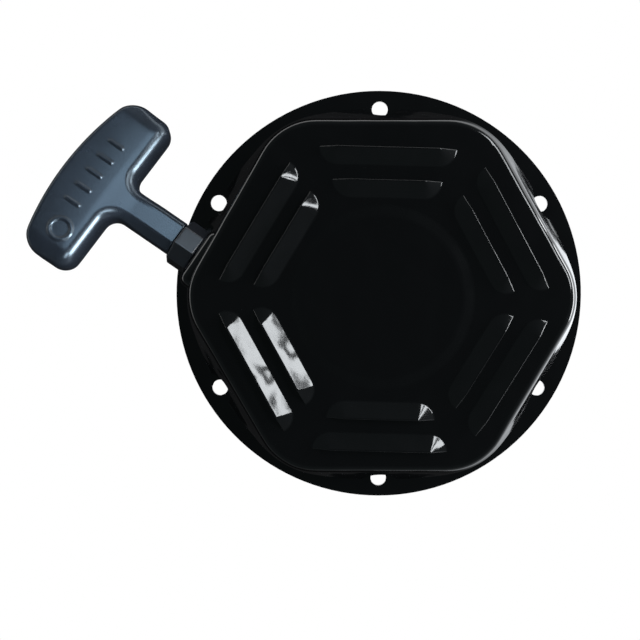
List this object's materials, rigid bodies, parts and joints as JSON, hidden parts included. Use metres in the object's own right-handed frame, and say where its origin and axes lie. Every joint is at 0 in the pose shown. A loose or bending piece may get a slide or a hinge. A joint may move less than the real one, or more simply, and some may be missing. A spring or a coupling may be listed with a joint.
{
  "type": "recoil starter",
  "caption": "Round pressed-steel pull starter with a louvred hexagonal face, a T-handle on a rope, and a spring-loaded reel with swing-out pawls.",
  "frame": {"origin": "centre of the flange's mounting face, on the reel's axis and the bolt circle's centre", "axes": "+Z out of the engine along the reel's axis, to the cover's face; +Y at a bolt hole; the rope is pulled along 145.5 degrees from +X towards +Y"},
  "size_m": [0.3026, 0.232, 0.0481],
  "materials": {
    "gloss_black_paint": "gloss",
    "plain_steel": "satin",
    "turned_steel": "satin",
    "zinc_steel": "bright zinc",
    "spring_steel": "oiled blue-grey",
    "hardened_steel": "dark oiled",
    "bronze": "sintered",
    "black_moulding": "gloss",
    "reel_plastic": "satin",
    "handle_plastic": "satin",
    "braided_rope": "braided, matt"
  },
  "bodies": {
    "case": {"cover_shell": "gloss_black_paint", "post_base_plate": "plain_steel", "centre_post": "turned_steel", "rope_guide": "black_moulding", "guide_retainer": "spring_steel", "centre_screw": "zinc_steel", "thrust_washer": "zinc_steel", "recoil_spring": "spring_steel"},
    "reel": {"rope_reel": "reel_plastic", "hub_bush": "bronze", "rope_coil": "braided_rope", "pawl_pins": "turned_steel", "pawl_springs": "spring_steel"},
    "ratchet": {"ratchet_guide": "zinc_steel", "friction_spring": "spring_steel"},
    "pawl_a": {"pawl_a": "hardened_steel"},
    "pawl_b": {"pawl_b": "hardened_steel"},
    "handle": {"handle_grip": "handle_plastic", "handle_insert": "zinc_steel", "rope_handle_knot": "braided_rope", "rope_lead": "braided_rope"}
  },
  "joints": [
    {"name": "handle_pull", "type": "slide", "parent": "case", "child": "handle", "axis": [-0.8241, 0.5664, 0], "range_m": [0, 0.54], "deforming": ["rope_lead"]},
    {"name": "reel_spin", "type": "hinge", "parent": "case", "child": "reel", "pos_m": [0, 0, 0.025], "axis": [0, 0, 1], "range_deg": [-1056.2, 0], "deforming": ["recoil_spring"]},
    {"name": "guide_turn", "type": "hinge", "parent": "reel", "child": "ratchet", "pos_m": [0, 0, 0.01], "axis": [0, 0, 1], "range_deg": [0, 30]},
    {"name": "pawl_a_swing", "type": "hinge", "parent": "reel", "child": "pawl_a", "pos_m": [0.027, 0, 0.015], "axis": [0, 0, 1], "range_deg": [0, 34]},
    {"name": "pawl_b_swing", "type": "hinge", "parent": "reel", "child": "pawl_b", "pos_m": [-0.027, 0, 0.015], "axis": [0, 0, 1], "range_deg": [0, 34]}
  ],
  "couplings": [
    {"joint": "reel_spin", "follows": "handle_pull", "rad_per_m": -34.072},
    {"joint": "pawl_a_swing", "follows": "guide_turn", "ratio": 1.1333},
    {"joint": "pawl_b_swing", "follows": "guide_turn", "ratio": 1.1333}
  ]
}
